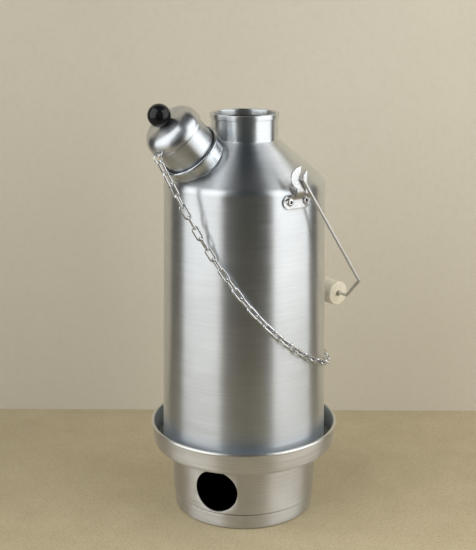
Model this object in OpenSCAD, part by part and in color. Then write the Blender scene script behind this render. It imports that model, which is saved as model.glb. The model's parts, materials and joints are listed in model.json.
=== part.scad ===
// Storm kettle on its fire base, in millimetres
// Origin at the centre of the fire base's underside, +Z up, spout towards -X, bail ears at -Y and +Y

/* [Fire base] */
// Step from the shell's foot in to the fire base's wall under the saucer
base_inset = 7.5; // [7:0.1:9]
// Draft of the fire base's wall, from the saucer in to the ground
base_draft = 2.8; // [1.5:0.1:8]
// Height of the saucer's underside above the ground
base_wall_h = 60; // [56:0.5:90]
// Sheet thickness of the fire base
base_t = 1.4; // [0.8:0.1:2.5]
// Height of the foot band
foot_band_h = 13.5; // [8:0.5:15]
// Height from the saucer's underside to the centre of its rim bead
saucer_h = 19.7; // [14:0.1:35]
// Gap between the kettle's foot and the saucer's wall at the rim
saucer_gap = 8.7; // [4:0.1:20]
// Radius of the rounded edge under the saucer
saucer_round = 5; // [3:0.5:8]
// Radius of the rolled rim bead
bead_r = 1.5; // [1:0.1:3]
// Diameter of the fire hole
fire_hole_d = 39; // [24:0.5:40]
// Height of the fire hole's centre
fire_hole_z = 35.5; // [35:0.5:38]
// Turn of the fire hole from the spout's side
fire_hole_turn = 30; // [0:1:80]

/* [Kettle shell] */
// Outer radius of the shell at its foot
shell_foot_r = 74; // [71:0.1:82]
// Outer radius of the shell at the shoulder
shell_top_r = 70; // [66:0.1:78]
// Height of the shell from its underside to the shoulder
wall_h = 241.5; // [220:0.5:320]
// Radius of the rounded foot of the shell
foot_round = 7; // [4:0.5:9]
// Radius of the rounded shoulder
shoulder_round = 9; // [4:0.5:12]
// Rise of the cone from the shoulder to the neck
cone_rise = 35; // [28:0.5:45]
// Outer radius of the neck
neck_r = 29; // [24:0.1:30]
// Height of the neck above the cone
neck_h = 22; // [14:0.5:40]
// Sheet thickness of the shell
shell_t = 1.2; // [0.8:0.1:2]
// Radius of the hole in the cone under the spout
pour_r = 20; // [12:0.5:21]

/* [Flue] */
// Gap for water between the shell's foot and the flue's cone
foot_gap = 16; // [15:0.5:26]
// Sheet thickness of the flue
flue_t = 1.2; // [0.8:0.1:2]
// Straight length of the flue below the neck's foot
flue_straight = 4; // [2:0.5:20]
// Height of the rim band rolled over the neck
rim_band_h = 4.4; // [3:0.1:10]
// Thickness of the rim band
rim_band_t = 1; // [0.8:0.1:1.5]

/* [Spout] */
// Tilt of the spout from upright
spout_tilt = 44; // [40:0.5:48]
// Distance from the kettle's axis to where the spout's axis leaves the cone
spout_at_r = 47.6; // [46:0.1:52]
// Length of the spout above the cone
spout_len = 15; // [12:0.5:30]
// Inner radius of the spout's neck
spout_in_r = 24.4; // [22:0.1:24.6]
// Wall of the spout's neck
spout_t = 1; // [0.8:0.1:1.4]
// Height of the collar round the spout's mouth
collar_h = 10.5; // [7:0.5:10.5]
// Wall of the collar
collar_t = 1; // [0.8:0.1:1.4]
// Radius of the rolled lip of the collar
lip_r = 1.3; // [1:0.1:1.6]

/* [Cap] */
// Gap round the skirt in the spout's mouth
skirt_gap = 1.1; // [0.6:0.1:2]
// Depth of the skirt in the spout
skirt_in = 9; // [7.5:0.5:10]
// Height of the skirt that shows above the spout
skirt_show = 19.7; // [12:0.1:30]
// Height of the friction band at the foot of the skirt
grip_band_h = 4; // [3:0.5:5]
// Sheet thickness of the cap
cap_t = 1; // [0.6:0.1:1.4]
// Step from the skirt out to the dome
dome_over = 1.3; // [1.1:0.1:2]
// Height of the dome
dome_h = 14.3; // [13:0.1:25]
// Radius of the dome's rounded edge
dome_round = 10; // [5:0.5:10]
// Diameter of the whistle holes
whistle_d = 4; // [2:0.5:8]
// Diameter of the ball knob
knob_d = 19.2; // [18:0.1:26]
// Height of the knob's centre above the dome
knob_stand = 8.3; // [7:0.1:8.8]
// Diameter of the knob's screw
knob_screw_d = 4; // [3:0.5:5]
// Turn of the cap's eye from the lowest side of the cap
cap_eye_turn = 16; // [-30:1:40]

/* [Chain] */
// Wire diameter of a link
link_wire_d = 1.8; // [1.4:0.1:2]
// Outer length of a link
link_l = 14; // [12:0.5:18]
// Outer width of a link
link_w = 6.6; // [6.4:0.1:8]
// Wire diameter of the end rings
ring_wire_d = 1.4; // [1:0.1:1.6]
// Mean diameter of the end rings
ring_d = 7.6; // [7.4:0.1:10]
// Height of the chain lug on the kettle
lug_z = 138; // [120:1:170]
// Share of the way to the lug over which the chain falls
chain_fall = 0.88; // [0.6:0.01:0.95]
// Steepness of the chain's fall
chain_power = 2.22; // [1.6:0.01:2.6]

/* [Ears and bail] */
// Sheet thickness of the ears and the lug
ear_t = 1.6; // [1.2:0.1:2]
// Height of the ear rivets below the shoulder
ear_drop = 9; // [9:0.5:14]
// Half the spacing of the ear rivets
rivet_half = 8; // [7.5:0.1:12]
// Height of the ear's hole above its rivets
ear_rise = 19.9; // [19:0.1:26]
// Radius of the ear's hole
ear_hole_r = 2.8; // [2.2:0.1:3.2]
// Radius of the ear's head
ear_head_r = 9; // [8:0.1:11]
// Distance of the ear's head outside the shell
ear_stand = 3; // [2.6:0.1:6]
// Wire diameter of the bail
bail_d = 2.8; // [2.2:0.1:3]
// Distance from the bail's pivot to the grip
bail_l = 145.8; // [142:0.1:170]
// Straight length of the bail's arms
arm_l = 117; // [105:0.5:122]
// Half the width of the bail beside the grip
bail_half = 44.7; // [43:0.1:52]
// Diameter of the grip
grip_d = 22; // [16:0.5:24]
// Length of the grip
grip_l = 68; // [40:1:72]
// Diameter of the grip's hole
grip_hole_d = 5.2; // [4.6:0.1:8]

/* [Fits] */
// Clearance between the kettle's foot and the saucer
seat_gap = 0.2; // [0.1:0.05:0.5]
// Clearance between pieces that are joined
seam_fit = 0.05; // [0.02:0.01:0.1]
// Running clearance of the cap's friction band in the spout
cap_fit = 0.05; // [0.02:0.01:0.1]
// Clearance between loose pieces at rest
loose_gap = 0.3; // [0.2:0.05:0.5]

/* [Hidden] */
$fn = 96;
over = 1;               // overrun of cuts past a face
floor_z = base_wall_h + base_t;
kettle_z = floor_z + seat_gap;
shoulder_z = kettle_z + wall_h;
neck_z = shoulder_z + cone_rise;
top_z = neck_z + neck_h;
rim_z = base_wall_h + saucer_h;
rim_r = shell_foot_r + saucer_gap + bead_r;
cone_run = shell_top_r - neck_r;
base_top_r = shell_foot_r - base_inset;
base_foot_r = base_top_r - base_draft;
flue_foot_r = shell_foot_r - foot_gap;

foot_step = 0.8;        // step above the foot band
foot_lean = 0.5;        // lean of the foot band
foot_edge_round = 2.5;
throat_round = 0.5;     // bend between the wall and the saucer
saucer_lean = 2;        // lean of the saucer's wall
neck_round = 2;
flue_foot_round = 3;
flue_neck_round = 12;
flange_w = 7;           // lap of the flue's flange on the shell's
rim_edge_round = 0.8;

flange_r = shell_foot_r - foot_round - flange_w;
flue_r = neck_r - shell_t - seam_fit;
band_in_r = neck_r + seam_fit;
band_out_r = band_in_r + rim_band_t;
spout_z = neck_z - (spout_at_r - neck_r) * cone_rise / cone_run;
spout_out_r = spout_in_r + spout_t;
collar_in_r = spout_out_r + seam_fit;
collar_z = spout_len - collar_h;
seat_lip = 0.4;         // ledge of the cone inside the neck's seat
tuck_gap = 1;           // neck's narrowing below the cap's skirt
tuck_round = 1.5;       // bends of the neck where it narrows

skirt_r = spout_in_r - skirt_gap;
grip_band_r = spout_in_r - cap_fit;
dome_r = skirt_r + dome_over;
dome_in_r = dome_r - cap_t;
cap_neck_r = dome_in_r - seam_fit;
cap_neck_h = 2;         // overlap of the skirt's neck in the dome
joggle = 0.8;           // height of the slopes in the skirt
seam_z = spout_len + skirt_show;
dome_z = seam_z + dome_h;
dome_crown = 1.5;       // rise of the dome's top
seat_r = 6;             // flat under the knob
disc_t = 0.8;           // thickness of a whistle disc
disc_drop = 3;          // lower whistle disc below the seam
screw_r = knob_screw_d / 2;
screw_head_r = 2 * screw_r;
screw_head_h = 1.2 * screw_r;
screw_reach = knob_d / 2;
washer_t = 0.8;

eye_wire_r = 0.8;       // wire of the cap's staple eye
eye_half = 3.6;         // half the spacing of the staple's legs
eye_bend = 1.6;         // bend radius of the staple
eye_stand = 4;          // staple's bar outside the dome
eye_up = 5.5;           // height of the staple above the cap's seam
eye_leg_in = 4;         // length of the staple's legs inside the dome
link_r = link_wire_d / 2;
link_gap = 0.2;         // slack between neighbouring links
ring_r = ring_d / 2;
ring_wire_r = ring_wire_d / 2;
link_pitch = link_l - 2 * link_wire_d - link_gap;
ring_to_link = ring_d - ring_wire_r - link_gap - link_wire_d;
chain_off = 3.2;        // chain's centre-line outside the shell
chain_twist = 45;       // turn of the links where they lie on the shell
twist_links = 6;        // links over which the chain turns
lug_hole_off = 4;       // lug's hole outside the shell
lug_hole_r = 1.6;
lug_half = 3.4;         // half the width of the lug's tab
lug_pad_w = 12;
lug_pad_h = 26;
lug_rivet_step = 8.5;   // rivets above and below the lug's tab

rivet_r = 1.6;
rivet_head_r = 3.5;
rivet_head_h = 1.5;
rivet_flat_r = 1.8;     // flat top of a rivet's head
rivet_brow_r = 3;       // brow of a rivet's head
rivet_brow_h = 1;
rivet_tail_r = 2.3;
rivet_tail_h = 3;
mandrel_r = 1.1;
rivet_seat = 0.1;       // relief of a flat head over the curved sheet
ear_z = shoulder_z - ear_drop;
ear_hole_z = ear_z + ear_rise;
lobe_r = 6.3;           // rounded lobes round the rivets
web_h = 3.8;            // web between the lobes, above the rivets
ear_face = shell_top_r + ear_stand;
stem_left = 3.5;
stem_right = 5.5;
slot_turn = 65;         // direction of the ear's slot
slot_in = 3.2;          // width of the slot at the hole
slot_out = 7.6;         // width of the slot at the rim
jaw_rise = 0.8;         // tip of the jaw above the ear's head

bail_r = bail_d / 2;
bail_bend = 3;          // bend radius of the wire's centre-line
hook_bend = 2.4;
bend_mark = 0.12;       // swelling where the wire was gripped for a bend
bend_mark_l = 1;
hook_l = 5.5;           // length of the hook inside the ear
hook_in = 5;            // hook's distance inside the ear's face
arm_play = 1;           // play between the bail's arms and the ears
arm_y = ear_face + ear_t + bail_r + arm_play;
hook_y = ear_face - hook_in;
pivot_z = ear_hole_z - (ear_hole_r - bail_r - loose_gap);
grip_r = grip_d / 2;
grip_hole_r = grip_hole_d / 2;
grip_sag = grip_hole_r - bail_r - loose_gap;
grip_edge = 1.2;

// Outer radius of the shell at a height
function shell_r(z) = shell_foot_r + (shell_top_r - shell_foot_r) * (z - kettle_z) / wall_h;

// Angle of the resting bail below the horizontal, where its grip lies beside the shell
function rest_angle(n, z) = let (a = acos((shell_r(z) + grip_r + loose_gap) / bail_l))
    n == 0 ? a : rest_angle(n - 1, pivot_z - bail_l * sin(a) - grip_sag);
bail_angle = rest_angle(6, kettle_z + wall_h / 2);

// Plane geometry of spun and folded sheets
function unit(v) = v / norm(v);
function left(v) = [-v.y, v.x];
function turned(v, a) = [v.x * cos(a) - v.y * sin(a), v.x * sin(a) + v.y * cos(a)];
function bend_sign(a, b, c) = sign((b.x - a.x) * (c.y - b.y) - (b.y - a.y) * (c.x - b.x));
function reversed(p) = [for (i = [len(p) - 1:-1:0]) p[i]];

// Arc that rounds the corner b between a and c
function corner(a, b, c, r, n) = let (
    u = unit(a - b),
    v = unit(c - b),
    half = acos(u * v) / 2,
    start = b + u * r / tan(half),
    centre = b + unit(u + v) * r / sin(half),
    sweep = (180 - 2 * half) * bend_sign(a, b, c))
    [for (i = [0:n]) centre + turned(start - centre, sweep * i / n)];
function rounded(p, r, n = 6) = [for (i = [0:len(p) - 1])
    each r[i] == 0 ? [p[i]] : corner(p[i - 1], p[i], p[i + 1], r[i], n)];

// Path moved to its left by d, and the radii that its corners then have
function shifted(p, d) = [for (i = [0:len(p) - 1]) let (
    j = max(i, 1),
    k = min(i, len(p) - 2),
    before = left(unit(p[j] - p[j - 1])),
    after = left(unit(p[k + 1] - p[k])),
    middle = unit(before + after))
    p[i] + middle * d / (middle * before)];
function shifted_radii(p, r, d) = [for (i = [0:len(p) - 1])
    r[i] == 0 ? 0 : max(0.1, r[i] - d * bend_sign(p[i - 1], p[i], p[i + 1]))];

// Outline of a sheet of thickness t whose outer face follows a path
function sheet(p, r, t) = concat(rounded(p, r), reversed(rounded(shifted(p, t), shifted_radii(p, r, t))));

base_path = [
    [0, 0],
    [base_foot_r, 0],
    [base_foot_r + foot_lean, foot_band_h],
    [base_foot_r + foot_lean + foot_step, foot_band_h + foot_step],
    [base_top_r, base_wall_h],
    [rim_r - saucer_lean, base_wall_h],
    [rim_r, rim_z]];
base_radii = [0, foot_edge_round, 0, 0, throat_round, saucer_round, 0];

shell_path = [
    [flange_r, kettle_z],
    [shell_foot_r, kettle_z],
    [shell_top_r, shoulder_z],
    [neck_r, neck_z],
    [neck_r, top_z - rim_band_t - seam_fit]];
shell_radii = [0, foot_round, shoulder_round, neck_round, 0];

flue_floor = kettle_z + shell_t + flue_t;
flue_path = [
    [flange_r + flange_w, flue_floor],
    [flue_foot_r, flue_floor],
    [flue_r, neck_z - flue_straight],
    [flue_r, top_z - rim_edge_round]];
flue_radii = [0, flue_foot_round, flue_neck_round, 0];

rim_path = [
    [flue_r, top_z - rim_band_h],
    [flue_r, top_z - rim_band_t],
    [band_in_r, top_z - rim_band_t],
    [band_in_r, top_z - rim_band_h],
    [band_out_r, top_z - rim_band_h],
    [band_out_r, top_z],
    [flue_r - flue_t, top_z],
    [flue_r - flue_t, top_z - rim_band_h]];
rim_radii = [0, 0, 0, 0, 0, rim_edge_round, rim_edge_round, 0];

skirt_path = [
    [grip_band_r, spout_len - skirt_in],
    [grip_band_r, spout_len - skirt_in + grip_band_h],
    [skirt_r, spout_len - skirt_in + grip_band_h + joggle],
    [skirt_r, seam_z - joggle],
    [cap_neck_r, seam_z - seam_fit],
    [cap_neck_r, seam_z + cap_neck_h]];
skirt_radii = [0, 0, 0, 0, 0, 0];

dome_path = [
    [dome_r, seam_z],
    [dome_r, dome_z - dome_crown],
    [seat_r, dome_z],
    [0, dome_z]];
dome_radii = [0, dome_round, 0, 0];

// Space inside the shell's outer face
module shell_space() {
    path = rounded(shell_path, shell_radii);
    rotate_extrude() polygon(concat(path, [[0, path[len(path) - 1].y], [0, kettle_z]]));
}

// Frame whose origin is where the spout leaves the cone and whose Z runs along the spout
module at_spout() {
    translate([-spout_at_r, 0, spout_z]) rotate([0, -spout_tilt, 0]) children();
}

// Frame of the cap's eye: X outwards from the spout's axis
module at_cap_eye() {
    at_spout() translate([0, 0, seam_z + eye_up]) rotate([0, 0, 180 + cap_eye_turn]) children();
}

// Frame on the shell at a turn from -Y and a height: Z outwards, Y up
module on_shell(turn, z, r) {
    rotate([0, 0, turn]) translate([0, -r, z]) rotate([90, 0, 0]) children();
}

// Curved plate against the shell, between two heights
module shell_band(low, high) {
    rotate_extrude() polygon([
        [shell_r(low), low],
        [shell_r(low) + ear_t, low],
        [shell_r(high) + ear_t, high],
        [shell_r(high), high]]);
}

// Hollow rivet through a plate on the shell, with the mandrel's hole in its head
module pop_rivet(turn, z) {
    on_shell(turn, z, shell_r(z) + ear_t + rivet_seat) difference() {
        rotate_extrude() polygon([
            [0, rivet_head_h],
            [rivet_flat_r, rivet_head_h],
            [rivet_brow_r, rivet_brow_h],
            [rivet_head_r, 0],
            [rivet_r, 0],
            [rivet_r, -ear_t - shell_t - 2 * rivet_seat],
            [rivet_tail_r, -ear_t - shell_t - 3 * rivet_seat],
            [rivet_tail_r, -ear_t - shell_t - rivet_tail_h],
            [0, -ear_t - shell_t - rivet_tail_h]]);
        cylinder(r = mandrel_r, h = rivet_head_h + over);
    }
}
module rivet_hole(turn, z) {
    on_shell(turn, z, shell_r(z) + ear_t + over)
        translate([0, 0, -ear_t - shell_t - 3 * over])
            cylinder(r = rivet_r + seam_fit, h = ear_t + shell_t + 4 * over);
}
ear_rivet_turn = asin(rivet_half / shell_r(ear_z));

module fire_base() {
    color("lightgray") difference() {
        rotate_extrude() {
            polygon(sheet(base_path, base_radii, base_t));
            translate([rim_r - base_t / 2, rim_z]) circle(bead_r, $fn = 32);
        }
        rotate([0, 0, 180 + fire_hole_turn])
            translate([base_foot_r / 2, 0, fire_hole_z])
                rotate([0, 90, 0]) cylinder(d = fire_hole_d, h = base_foot_r);
    }
}

module outer_shell() {
    color("silver") difference() {
        rotate_extrude() polygon(sheet(shell_path, shell_radii, shell_t));
        at_spout() translate([0, 0, -spout_len]) cylinder(r = pour_r, h = 2 * spout_len);
        for (side = [0, 180], turn = [-ear_rivet_turn, ear_rivet_turn]) rivet_hole(side + turn, ear_z);
        for (z = [-lug_rivet_step, lug_rivet_step]) rivet_hole(90, lug_z + z);
    }
}

module flue() {
    color("gray") rotate_extrude() {
        polygon(sheet(flue_path, flue_radii, flue_t));
        polygon(rounded(rim_path, rim_radii, 4));
    }
}

// Neck that narrows below the cap's skirt to its seat on the cone
module spout_neck() {
    seat_out_r = pour_r + seat_lip + spout_t;
    tuck_z = spout_len - skirt_in - tuck_gap;
    path = [
        [seat_out_r, -spout_len],
        [seat_out_r, tuck_z + seat_out_r - spout_out_r],
        [spout_out_r, tuck_z],
        [spout_out_r, spout_len - 2 * lip_r]];
    color("silver") difference() {
        at_spout() rotate_extrude() polygon(sheet(path, [0, tuck_round, tuck_round, 0], spout_t));
        shell_space();
    }
}

module spout_collar() {
    color("silver") at_spout() rotate_extrude() {
        translate([collar_in_r, collar_z]) square([collar_t, collar_h - lip_r]);
        translate([spout_in_r + lip_r, spout_len - lip_r]) circle(lip_r, $fn = 32);
    }
}

module cap_skirt() {
    color("silver") at_spout() rotate_extrude() polygon(sheet(skirt_path, skirt_radii, cap_t));
}

module cap_dome() {
    color("silver") difference() {
        at_spout() difference() {
            rotate_extrude() polygon(sheet(dome_path, dome_radii, cap_t));
            translate([0, 0, dome_z - over - cap_t]) cylinder(r = screw_r + seam_fit, h = cap_t + 2 * over);
        }
        eye_holes();
    }
}

// Two thin discs with central holes that sound as the steam passes
module whistle_discs() {
    color("silver") at_spout() {
        translate([0, 0, seam_z - disc_drop]) whistle_disc(skirt_r - cap_t - seam_fit);
        translate([0, 0, seam_z + cap_neck_h + seam_fit]) whistle_disc(dome_in_r - seam_fit);
    }
}
module whistle_disc(r) {
    difference() {
        cylinder(r = r, h = disc_t);
        translate([0, 0, -over]) cylinder(d = whistle_d, h = disc_t + 2 * over);
    }
}

module knob() {
    color("black") at_spout() translate([0, 0, dome_z]) difference() {
        translate([0, 0, knob_stand]) sphere(d = knob_d);
        translate([0, 0, -knob_d]) cylinder(d = 2 * knob_d, h = knob_d);
        translate([0, 0, -over]) cylinder(r = screw_r + seam_fit, h = screw_reach + seam_fit + over);
    }
}

module knob_screw() {
    color("gainsboro") at_spout() translate([0, 0, dome_z - cap_t - washer_t]) {
        cylinder(r = screw_r, h = cap_t + washer_t + screw_reach);
        translate([0, 0, -screw_head_h]) cylinder(r = screw_head_r, h = screw_head_h);
    }
}

module knob_washer() {
    color("gainsboro") at_spout() translate([0, 0, dome_z - cap_t - washer_t]) difference() {
        cylinder(r = seat_r - over, h = washer_t);
        translate([0, 0, -over]) cylinder(r = screw_r + seam_fit, h = washer_t + 2 * over);
    }
}

// Holes for the legs of the cap's staple
module eye_holes() {
    at_cap_eye() for (side = [-eye_half, eye_half])
        translate([dome_r - eye_leg_in, side, 0]) rotate([0, 90, 0])
            cylinder(r = eye_wire_r + seam_fit, h = eye_leg_in + over, $fn = 32);
}
module cap_eye() {
    leg_end = dome_r - eye_leg_in;
    bar = dome_r + eye_stand;
    staple = [[leg_end, -eye_half], [bar, -eye_half], [bar, eye_half], [leg_end, eye_half]];
    color("gainsboro") at_cap_eye() bent_wire(staple, [0, eye_bend, eye_bend, 0], eye_wire_r);
}

// Middle of the staple's bar, where the chain's route starts
down = [0, 0, -1];
eye_out = [-cos(cap_eye_turn) * cos(spout_tilt), -sin(cap_eye_turn), -cos(cap_eye_turn) * sin(spout_tilt)];
spout_dir = [-sin(spout_tilt), 0, cos(spout_tilt)];
chain_start = [-spout_at_r, 0, spout_z] + spout_dir * (seam_z + eye_up) + eye_out * (dome_r + eye_stand);
eye_side = cross(spout_dir, eye_out);

// Frame with its origin at p, X along x and Z as near to z as it can be
module in_frame(p, x, z) {
    i = unit(x);
    k = unit(z - i * (z * i));
    j = cross(k, i);
    multmatrix([[i.x, j.x, k.x, p.x], [i.y, j.y, k.y, p.y], [i.z, j.z, k.z, p.z], [0, 0, 0, 1]]) children();
}

// Solid ring with its centre and two directions in its plane
module wire_ring(centre, u, v) {
    in_frame(centre, u, cross(u, v)) rotate_extrude() translate([ring_r, 0]) circle(ring_wire_r, $fn = 32);
}

lug_hole = [shell_r(lug_z) + lug_hole_off, 0, lug_z];
lug_ring_top = lug_hole - [0, lug_hole_r - ring_wire_r - link_gap, 0];
module lug_ring() {
    color("gainsboro") wire_ring(lug_ring_top - [0, ring_r, 0], [0, -1, 0], down);
}

// Route of the chain: straight in plan from the cap to the shell, then round the shell to the lug
chain_end = lug_ring_top - [0, ring_to_link, 0];
start_r = norm([chain_start.x, chain_start.y]);
start_turn = atan2(-chain_start.y, -chain_start.x);
end_turn = 180 - atan2(-chain_end.y, chain_end.x);
end_off = norm([chain_end.x, chain_end.y]) - shell_r(lug_z);
touch_r = shell_r((chain_start.z + lug_z) / 2) + chain_off;
touch_turn = start_turn + acos(touch_r / start_r);
free_l = sqrt(start_r * start_r - touch_r * touch_r);
wall_l = (end_turn - touch_turn) * PI / 180 * touch_r;
plan_l = free_l + wall_l;
function fall(w) = pow(max(0, 1 - w / (chain_fall * plan_l)), chain_power);
function chain_z(w) = chain_end.z + (chain_start.z - chain_end.z) * fall(w);
function polar(r, turn, z) = [-r * cos(turn), -r * sin(turn), z];
function ease(u) = u * u * (3 - 2 * u);
function wall_off(u) = chain_off + (end_off - chain_off) * ease(max(0, 4 * u - 3));
function chain_free(k, z) = let (p = chain_start * (1 - k) + polar(touch_r, touch_turn, 0) * k) [p.x, p.y, z];
function chain_wall(u, z) = polar(shell_r(z) + wall_off(u), touch_turn + (end_turn - touch_turn) * u, z);
function chain_point(w) = w < free_l
    ? chain_free(w / free_l, chain_z(w))
    : chain_wall((w - free_l) / wall_l, chain_z(w));

// Points along the route with the length run so far, and the route's point at a length
route_steps = 160;
route = [for (i = [0:route_steps]) chain_point(plan_l * i / route_steps)];
function step_l(i) = i < route_steps ? norm(route[i + 1] - route[i]) : 0;
run = [for (i = 0, s = 0; i <= route_steps; s = s + step_l(i), i = i + 1) s];
chain_l = run[route_steps];
function along(s) = [for (axis = [0:2]) lookup(s, [for (i = [0:route_steps]) [run[i], route[i][axis]]])];

// Ring along the start of the route, between the staple's bar and the first link
ring_run = ring_r - eye_wire_r - ring_wire_r - link_gap;
first_tip = ring_run + ring_to_link - ring_r;
module cap_ring() {
    hang = along(2 * ring_run) - chain_start;
    color("gainsboro") wire_ring(chain_start + unit(hang) * ring_run, hang, cross(hang, eye_side));
}

links_l = chain_l - first_tip - link_l;
link_count = ceil(links_l / link_pitch) + 1;
pitch = links_l / (link_count - 1);
end_twist = link_count % 2 == 1 ? 90 : 0;
function link_turn(i) = 90 * (i % 2)
    - chain_twist * ease(min(1, i / twist_links))
    + (chain_twist - end_twist) * ease(min(1, max(0, (i - link_count + 1 + twist_links) / twist_links)));

// One chain link along X with its flat side to Z
module link() {
    straight = link_l - link_w;
    bow_r = link_w / 2 - link_r;
    for (side = [0, 180]) rotate([0, 0, side]) {
        translate([-straight / 2, bow_r, 0]) rotate([0, 90, 0]) cylinder(r = link_r, h = straight, $fn = 24);
        translate([straight / 2, 0, 0]) rotate([0, 0, -90])
            rotate_extrude(angle = 180) translate([bow_r, 0]) circle(link_r, $fn = 24);
    }
}
module chain() {
    color("gainsboro") for (i = [0:link_count - 1]) {
        s = first_tip + link_l / 2 + i * pitch;
        from = along(s - pitch / 2);
        to = along(s + pitch / 2);
        p = (from + to) / 2;
        in_frame(p, to - from, [p.x, p.y, 0]) rotate([link_turn(i), 0, 0]) link();
    }
}

module chain_lug() {
    pad_low = lug_z - lug_pad_h / 2;
    color("gainsboro") difference() {
        union() {
            intersection() {
                shell_band(pad_low, pad_low + lug_pad_h);
                translate([0, 0, lug_z]) rotate([90, 0, 90]) linear_extrude(2 * shell_foot_r) pad_outline();
            }
            translate([shell_r(lug_z) + ear_t / 2, -lug_half, lug_z - ear_t / 2])
                cube([lug_hole_off - ear_t / 2, 2 * lug_half, ear_t]);
            translate([lug_hole.x, 0, lug_z - ear_t / 2]) cylinder(r = lug_half, h = ear_t);
        }
        translate([lug_hole.x, 0, lug_z - ear_t]) cylinder(r = lug_hole_r, h = 2 * ear_t);
        for (z = [-lug_rivet_step, lug_rivet_step]) rivet_hole(90, lug_z + z);
    }
}
module pad_outline() {
    round_r = lug_pad_w / 2;
    straight = lug_pad_h - lug_pad_w;
    translate([-round_r, -straight / 2]) square([lug_pad_w, straight]);
    for (z = [-straight / 2, straight / 2]) translate([0, z]) circle(round_r);
}
module lug_rivets() {
    color("gainsboro") for (z = [-lug_rivet_step, lug_rivet_step]) pop_rivet(90, lug_z + z);
}

// Foot of an ear: two lobes round the rivets and the web between them
module ear_foot_outline() {
    for (side = [-rivet_half, rivet_half]) translate([side, ear_z]) circle(lobe_r);
    translate([-rivet_half, ear_z - lobe_r]) square([2 * rivet_half, lobe_r + web_h]);
}

// Tab of an ear: a stem, and a head slotted open to its hole
module ear_tab_outline() {
    translate([-stem_left, ear_z]) square([stem_left + stem_right, ear_rise - ear_hole_r]);
    translate([0, ear_hole_z]) difference() {
        union() {
            translate([-over, 0]) circle(ear_head_r);
            polygon([
                [-ear_hole_r, ear_hole_r],
                [-ear_hole_r, ear_head_r - jaw_rise],
                [0, ear_head_r + jaw_rise],
                [ear_hole_r, ear_hole_r]]);
        }
        circle(ear_hole_r);
        rotate(slot_turn) polygon([
            [0, -slot_in / 2],
            [ear_head_r + 2 * over, -slot_out / 2],
            [ear_head_r + 2 * over, slot_out / 2],
            [0, slot_in / 2]]);
        translate([stem_right + over, -ear_head_r]) square(2 * ear_head_r);
    }
}

// Side of an ear's tab: out of the web, then joggled out to the head
web_top = ear_z + web_h;
tab_lift = 0.3;         // start of the tab inside the web's thickness
tab_side = [
    [shell_r(web_top) + tab_lift, web_top - ear_t],
    [ear_face, web_top + ear_stand + over],
    [ear_face, ear_hole_z + ear_head_r + 2 * over]];
module ear() {
    tab = concat(tab_side, reversed(shifted(tab_side, -ear_t)));
    color("gainsboro") difference() {
        union() {
            intersection() {
                shell_band(ear_z - lobe_r, ear_z + lobe_r);
                rotate([90, 0, 0]) linear_extrude(2 * shell_foot_r) ear_foot_outline();
            }
            intersection() {
                translate([-2 * ear_head_r, 0, 0]) rotate([90, 0, 90]) mirror([1, 0])
                    linear_extrude(4 * ear_head_r) polygon(tab);
                rotate([90, 0, 0]) linear_extrude(2 * shell_foot_r) ear_tab_outline();
            }
        }
        for (turn = [-ear_rivet_turn, ear_rivet_turn]) rivet_hole(turn, ear_z);
    }
}
module ear_front() {
    ear();
}
module ear_rear() {
    mirror([0, 1, 0]) ear();
}
module ear_rivets_front() {
    color("gainsboro") for (turn = [-ear_rivet_turn, ear_rivet_turn]) pop_rivet(turn, ear_z);
}
module ear_rivets_rear() {
    mirror([0, 1, 0]) ear_rivets_front();
}

// Round wire along a plane path, bent at its inner corners
module bent_wire(p, r, wire_r) {
    last = len(p) - 1;
    trim = [for (i = [0:last]) i == 0 || i == last ? 0
        : r[i] / tan(acos(unit(p[i - 1] - p[i]) * unit(p[i + 1] - p[i])) / 2)];
    for (i = [0:last - 1]) {
        d = unit(p[i + 1] - p[i]);
        translate(p[i] + d * trim[i]) rotate([0, 0, atan2(d.y, d.x)]) rotate([0, 90, 0])
            cylinder(r = wire_r, h = norm(p[i + 1] - p[i]) - trim[i] - trim[i + 1], $fn = 48);
    }
    for (i = [1:last - 1]) {
        u = unit(p[i - 1] - p[i]);
        v = unit(p[i + 1] - p[i]);
        half = acos(u * v) / 2;
        centre = p[i] + unit(u + v) * r[i] / sin(half);
        from = p[i] + u * trim[i] - centre;
        turn = bend_sign(p[i - 1], p[i], p[i + 1]);
        translate(centre) rotate([0, 0, atan2(from.y, from.x) + (turn > 0 ? 0 : 2 * half - 180)])
            rotate_extrude(angle = 180 - 2 * half) translate([r[i], 0]) circle(wire_r, $fn = 48);
        for (d = [u, v]) translate(p[i] + d * trim[i]) rotate([0, 0, atan2(d.y, d.x)]) rotate([0, 90, 0])
            cylinder(r = wire_r + bend_mark, h = bend_mark_l, center = true, $fn = 48);
    }
}

// Frame of the bail: origin on its pivot, X along its arms, Y across the kettle
module at_bail() {
    translate([0, 0, pivot_z]) rotate([0, bail_angle, 0]) children();
}
module bail_wire() {
    half = [[hook_l, -hook_y], [0, -hook_y], [0, -arm_y], [arm_l, -arm_y], [bail_l, -bail_half]];
    bends = [0, hook_bend, hook_bend, bail_bend, bail_bend];
    path = concat(half, [for (p = reversed(half)) [p.x, -p.y]]);
    color("lightsteelblue") at_bail() bent_wire(path, concat(bends, reversed(bends)), bail_r);
}
module grip() {
    half = grip_l / 2;
    grip_path = [[grip_hole_r, -half], [grip_r, -half], [grip_r, half], [grip_hole_r, half]];
    color("beige") at_bail() translate([bail_l, 0, 0]) rotate([0, -bail_angle, 0])
        translate([0, 0, -grip_sag]) rotate([90, 0, 0])
            rotate_extrude() polygon(rounded(grip_path, [0, grip_edge, grip_edge, 0]));
}

fire_base();
outer_shell();
flue();
spout_neck();
spout_collar();
cap_skirt();
cap_dome();
whistle_discs();
knob();
knob_screw();
knob_washer();
cap_eye();
cap_ring();
chain();
lug_ring();
chain_lug();
lug_rivets();
ear_front();
ear_rear();
ear_rivets_front();
ear_rivets_rear();
bail_wire();
grip();
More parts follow.
